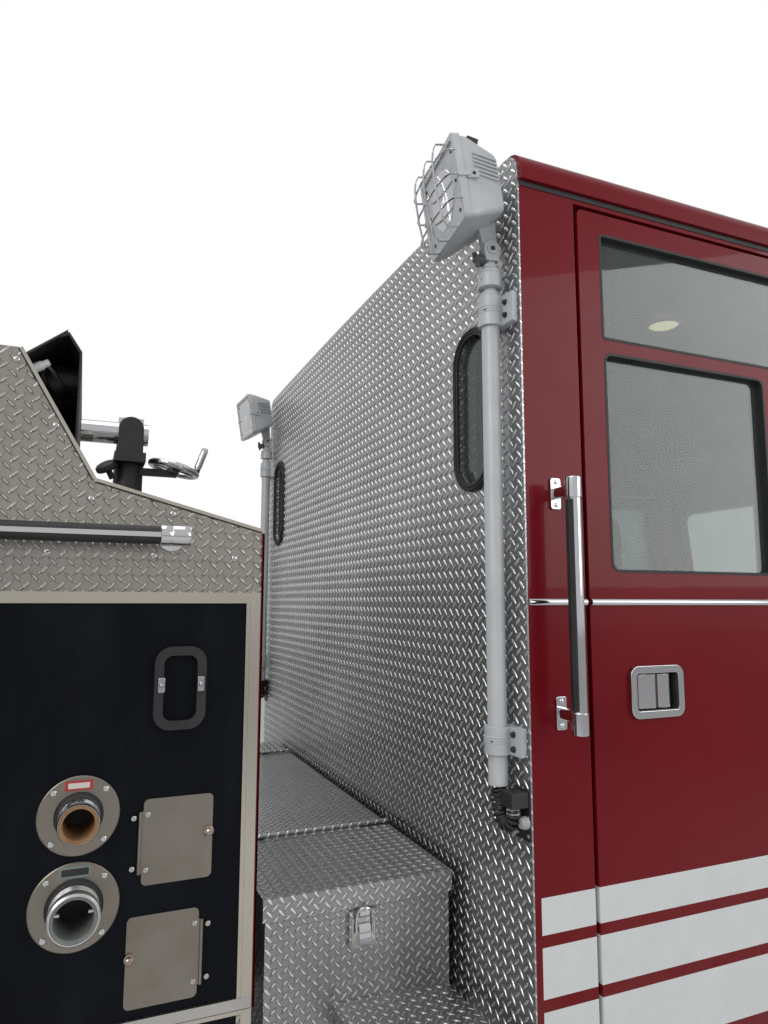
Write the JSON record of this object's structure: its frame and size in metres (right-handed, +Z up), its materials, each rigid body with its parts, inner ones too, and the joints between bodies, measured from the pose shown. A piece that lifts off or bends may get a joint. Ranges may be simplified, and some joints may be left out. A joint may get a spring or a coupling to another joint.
{
  "type": "pumper fire truck",
  "caption": "Full-size pumper fire truck with a raised-roof tilt cab, crosswise box, side pump panel, hose body, floodlights on sliding poles and a deck gun.",
  "frame": {"origin": "on the ground under the middle of the truck's box, free cords left out", "axes": "+X forward along the truck's length, +Y to its left, +Z up"},
  "size_m": [9.4, 3.128, 2.8929],
  "materials": {
    "red_paint": "gloss maroon-red paint",
    "tread_plate": "bright diamond tread plate",
    "stainless": "brushed stainless",
    "chrome": "bright chrome",
    "black_panel": "black coated panel",
    "black_paint": "black chassis paint",
    "machinery": "painted castings",
    "shutter": "satin anodised slats",
    "grey_trim": "grey textured liner",
    "seat_cover": "grey-black woven cover",
    "glass": "grey-green tinted glass",
    "lens": "clear red lens",
    "light_grey_paint": "light grey paint",
    "rubber": "black rubber",
    "tyre": "road tyre",
    "rim": "polished disc wheel"
  },
  "bodies": {
    "chassis": {"frame_rails": "black_paint", "axles_and_springs": "black_paint", "engine_and_drive_line": "machinery", "chassis_tanks": "black_paint", "front_bumper": "chrome", "crosswise_box": "tread_plate", "tread_plate_steps": "tread_plate", "pump_house": "tread_plate", "pump_panels": "black_panel", "pump_trim": "stainless", "pump_fittings": "stainless", "operator_controls": "black_panel", "body_shell": "red_paint", "roll_up_doors": "shutter", "hose_bed": "tread_plate", "fenders_and_flaps": "rubber", "rear_lamps": "lens"},
    "cab": {"cab_floor": "grey_trim", "cab_rear_wall": "tread_plate", "cab_side_frames": "red_paint", "cab_front_mask": "red_paint", "cab_roof": "red_paint", "cab_glass": "glass", "seats": "seat_cover", "dash": "grey_trim", "grille": "chrome", "cab_lamps": "lens", "rails_and_mirrors": "chrome", "pole_mounts": "light_grey_paint", "lamp_cord_left": "rubber", "lamp_cord_right": "rubber"},
    "crew_door_left": {"crew_door_left": "red_paint", "crew_door_glass_left": "glass"},
    "front_door_left": {"front_door_left": "red_paint", "front_door_glass_left": "glass"},
    "knuckle_left": {"steering_knuckle_left": "black_paint"},
    "front_wheel_left": {"front_rim_left": "rim", "front_tyre_left": "tyre"},
    "rear_wheels_left": {"rear_rims_left": "rim", "rear_tyres_left": "tyre"},
    "lamp_pole_left": {"lamp_pole_left": "light_grey_paint"},
    "lamp_head_left": {"lamp_head_left": "light_grey_paint"},
    "box_lid_left": {"box_lid_left": "tread_plate"},
    "crew_door_right": {"crew_door_right": "red_paint", "crew_door_glass_right": "glass"},
    "front_door_right": {"front_door_right": "red_paint", "front_door_glass_right": "glass"},
    "knuckle_right": {"steering_knuckle_right": "black_paint"},
    "front_wheel_right": {"front_rim_right": "rim", "front_tyre_right": "tyre"},
    "rear_wheels_right": {"rear_rims_right": "rim", "rear_tyres_right": "tyre"},
    "lamp_pole_right": {"lamp_pole_right": "light_grey_paint"},
    "lamp_head_right": {"lamp_head_right": "light_grey_paint"},
    "box_lid_right": {"box_lid_right": "tread_plate"},
    "access_door_upper": {"access_door_upper": "stainless"},
    "access_door_lower": {"access_door_lower": "stainless"},
    "deck_gun_swivel": {"deck_gun_base": "black_paint"},
    "deck_gun_barrel": {"deck_gun_barrel": "chrome"}
  },
  "joints": [
    {"name": "cab_tilt", "type": "hinge", "parent": "chassis", "child": "cab", "pos_m": [4.09, 0, 0.8], "axis": [0, 1, 0], "range_deg": [0, 45]},
    {"name": "steer_left", "type": "hinge", "parent": "chassis", "child": "knuckle_left", "pos_m": [2.88, 0.87, 0.535], "axis": [0, 0, 1], "range_deg": [-40, 40]},
    {"name": "front_spin_left", "type": "hinge", "parent": "knuckle_left", "child": "front_wheel_left", "pos_m": [2.88, 1.045, 0.535], "axis": [0, 1, 0], "continuous": true},
    {"name": "rear_spin_left", "type": "hinge", "parent": "chassis", "child": "rear_wheels_left", "pos_m": [-2.02, 0.904, 0.535], "axis": [0, 1, 0], "continuous": true},
    {"name": "crew_door_swing_left", "type": "hinge", "parent": "cab", "child": "crew_door_left", "pos_m": [2.226, 1.23, 1.6], "axis": [0, 0, -1], "range_deg": [0, 80]},
    {"name": "front_door_swing_left", "type": "hinge", "parent": "cab", "child": "front_door_left", "pos_m": [4.016, 1.23, 1.5], "axis": [0, 0, -1], "range_deg": [0, 75]},
    {"name": "pole_slide_left", "type": "slide", "parent": "cab", "child": "lamp_pole_left", "axis": [0, 0, 1], "range_m": [0, 0.9]},
    {"name": "lamp_tilt_left", "type": "hinge", "parent": "lamp_pole_left", "child": "lamp_head_left", "pos_m": [1.182, 1.148, 2.628], "axis": [0.0628, -0.998, 0], "range_deg": [-8, 60]},
    {"name": "steer_right", "type": "hinge", "parent": "chassis", "child": "knuckle_right", "pos_m": [2.88, -0.87, 0.535], "axis": [0, 0, 1], "range_deg": [-40, 40]},
    {"name": "front_spin_right", "type": "hinge", "parent": "knuckle_right", "child": "front_wheel_right", "pos_m": [2.88, -1.045, 0.535], "axis": [0, 1, 0], "continuous": true},
    {"name": "rear_spin_right", "type": "hinge", "parent": "chassis", "child": "rear_wheels_right", "pos_m": [-2.02, -0.904, 0.535], "axis": [0, 1, 0], "continuous": true},
    {"name": "crew_door_swing_right", "type": "hinge", "parent": "cab", "child": "crew_door_right", "pos_m": [2.226, -1.23, 1.6], "axis": [0, 0, 1], "range_deg": [0, 80]},
    {"name": "front_door_swing_right", "type": "hinge", "parent": "cab", "child": "front_door_right", "pos_m": [4.016, -1.23, 1.5], "axis": [0, 0, 1], "range_deg": [0, 75]},
    {"name": "pole_slide_right", "type": "slide", "parent": "cab", "child": "lamp_pole_right", "axis": [0, 0, 1], "range_m": [0, 0.9]},
    {"name": "lamp_tilt_right", "type": "hinge", "parent": "lamp_pole_right", "child": "lamp_head_right", "pos_m": [1.182, -1.148, 2.628], "axis": [-0.1409, -0.99, 0], "range_deg": [-8, 60]},
    {"name": "box_lid_lift_right", "type": "hinge", "parent": "chassis", "child": "box_lid_right", "pos_m": [0.95, -0.481, 1.101], "axis": [-1, 0, 0], "range_deg": [0, 95]},
    {"name": "box_lid_lift_left", "type": "hinge", "parent": "chassis", "child": "box_lid_left", "pos_m": [0.95, 0.641, 1.101], "axis": [1, 0, 0], "range_deg": [0, 95]},
    {"name": "access_upper_swing", "type": "hinge", "parent": "chassis", "child": "access_door_upper", "pos_m": [0.409, -1.2193, 1.351], "axis": [0, 0, -1], "range_deg": [0, 110]},
    {"name": "access_lower_swing", "type": "hinge", "parent": "chassis", "child": "access_door_lower", "pos_m": [0.52, -1.2193, 1.156], "axis": [0, 0, 1], "range_deg": [0, 110]},
    {"name": "deck_gun_turn", "type": "hinge", "parent": "chassis", "child": "deck_gun_swivel", "pos_m": [0.423, 0, 2.1], "axis": [0, 0, 1], "range_deg": [-120, 120]},
    {"name": "deck_gun_raise", "type": "hinge", "parent": "deck_gun_swivel", "child": "deck_gun_barrel", "pos_m": [0.423, 0, 2.345], "axis": [0, 1, 0], "range_deg": [0, 80]}
  ],
  "couplings": [
    {"joint": "steer_right", "follows": "steer_left", "ratio": 1}
  ]
}
